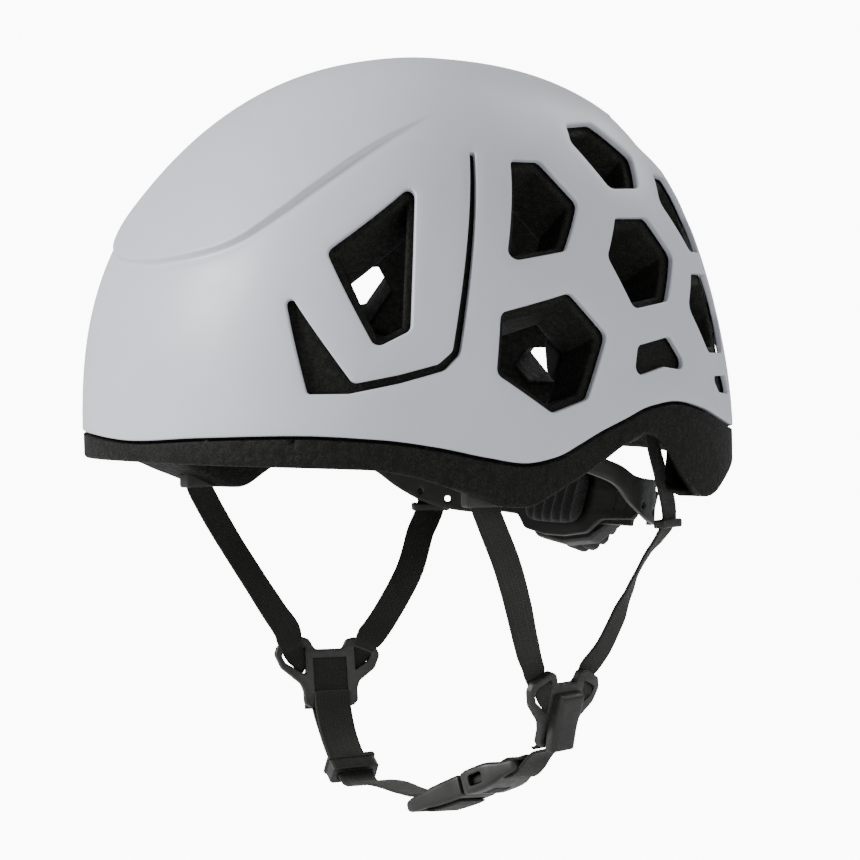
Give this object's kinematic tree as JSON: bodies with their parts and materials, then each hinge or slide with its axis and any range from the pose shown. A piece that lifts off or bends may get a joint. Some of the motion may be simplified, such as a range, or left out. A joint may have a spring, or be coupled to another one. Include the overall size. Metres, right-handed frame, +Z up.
{
  "type": "climbing helmet",
  "caption": "Climbing helmet with a moulded shell over a vented foam liner, dial-adjusted headband and buckled chin harness.",
  "frame": {"origin": "crown seat: the middle of the crown pad's flat underside, where the top of the wearer's head rests", "axes": "+Z up, out of the top of the shell; the wearer faces -Y; +X is the wearer's left"},
  "size_m": [0.217, 0.2657, 0.3024],
  "materials": {
    "shell": "satin moulded ABS, light cool grey",
    "foam": "expanded polypropylene bead foam, black",
    "pad": "brushed knit over soft foam, black",
    "plastic": "moulded nylon, fine matte texture, black",
    "webbing": "woven polyester webbing, black",
    "steel": "spring steel"
  },
  "bodies": {
    "helmet": {"brow_pad": "pad", "crown_pad": "pad", "foam_liner": "foam", "front_anchor_left": "plastic", "front_anchor_right": "plastic", "outer_shell": "shell", "rear_anchor_left": "plastic", "rear_anchor_right": "plastic", "side_pad_left": "pad", "side_pad_right": "pad", "temple_pin_left": "plastic", "temple_pin_right": "plastic"},
    "headband": {"headband_arm_left": "plastic", "headband_arm_right": "plastic", "rear_cradle": "plastic", "dial_housing": "plastic", "click_spring": "steel", "nape_pad": "pad"},
    "dial": {"adjuster_dial": "plastic", "pinion": "plastic"},
    "rack_left_slide": {"rack_left": "plastic"},
    "rack_right_slide": {"rack_right": "plastic"},
    "harness_left": {"front_strap_left": "webbing", "rear_strap_left": "webbing", "strap_guide_left": "plastic", "divider_left": "plastic"},
    "harness_right": {"front_strap_right": "webbing", "rear_strap_right": "webbing", "strap_guide_right": "plastic", "divider_right": "plastic"},
    "lock_left": {"divider_lock_left": "plastic"},
    "lock_right": {"divider_lock_right": "plastic"},
    "chin": {"chin_strap_left": "webbing", "buckle_socket": "plastic", "chin_strap_right": "webbing"},
    "plug": {"buckle_plug": "plastic"},
    "adjuster": {"strap_adjuster": "plastic"}
  },
  "joints": [
    {"name": "headband_tilt", "type": "hinge", "parent": "helmet", "child": "headband", "pos_m": [0, -0.03, -0.112], "axis": [1, 0, 0], "range_deg": [-6, 7]},
    {"name": "dial_turn", "type": "hinge", "parent": "headband", "child": "dial", "pos_m": [0, 0.09565, -0.15076], "axis": [0, 0.9511, -0.309], "range_deg": [-110, 110]},
    {"name": "rack_left_travel", "type": "slide", "parent": "headband", "child": "rack_left_slide", "axis": [1, 0, 0], "range_m": [-0.0078, 0.0078]},
    {"name": "rack_right_travel", "type": "slide", "parent": "headband", "child": "rack_right_slide", "axis": [1, 0, 0], "range_m": [-0.0078, 0.0078]},
    {"name": "harness_sway", "type": "hinge", "parent": "helmet", "child": "harness_left", "pos_m": [0.0742, 0.0139, -0.137], "axis": [0, 1, 0], "range_deg": [-6.5, 6.5]},
    {"name": "harness_sway_right", "type": "hinge", "parent": "helmet", "child": "harness_right", "pos_m": [-0.0742, 0.0139, -0.137], "axis": [0, 1, 0], "range_deg": [-6.6, 6.6]},
    {"name": "chin_strap_pivot", "type": "hinge", "parent": "harness_left", "child": "chin", "pos_m": [0.07416, 0.01389, -0.23387], "axis": [0, 1, 0], "range_deg": [-6.6, 6.6]},
    {"name": "lock_left_hinge", "type": "hinge", "parent": "harness_left", "child": "lock_left", "pos_m": [0.08174, 0.01606, -0.21315], "axis": [-0.2751, 0.9614, 0], "range_deg": [-70, 0]},
    {"name": "lock_right_hinge", "type": "hinge", "parent": "harness_right", "child": "lock_right", "pos_m": [-0.08174, 0.01606, -0.21315], "axis": [0.2751, 0.9614, 0], "range_deg": [0, 70]},
    {"name": "buckle_plug_travel", "type": "slide", "parent": "chin", "child": "plug", "axis": [-0.8975, -0.2189, -0.3828], "range_m": [0, 0.012]},
    {"name": "adjuster_travel", "type": "slide", "parent": "chin", "child": "adjuster", "axis": [0.7925, -0.153, -0.5903], "range_m": [-0.004, 0.004]}
  ],
  "couplings": [
    {"joint": "rack_left_travel", "follows": "dial_turn", "m_per_rad": -0.004},
    {"joint": "rack_right_travel", "follows": "dial_turn", "m_per_rad": 0.004},
    {"joint": "harness_sway_right", "follows": "harness_sway", "ratio": 1},
    {"joint": "chin_strap_pivot", "follows": "harness_sway", "ratio": -1}
  ]
}
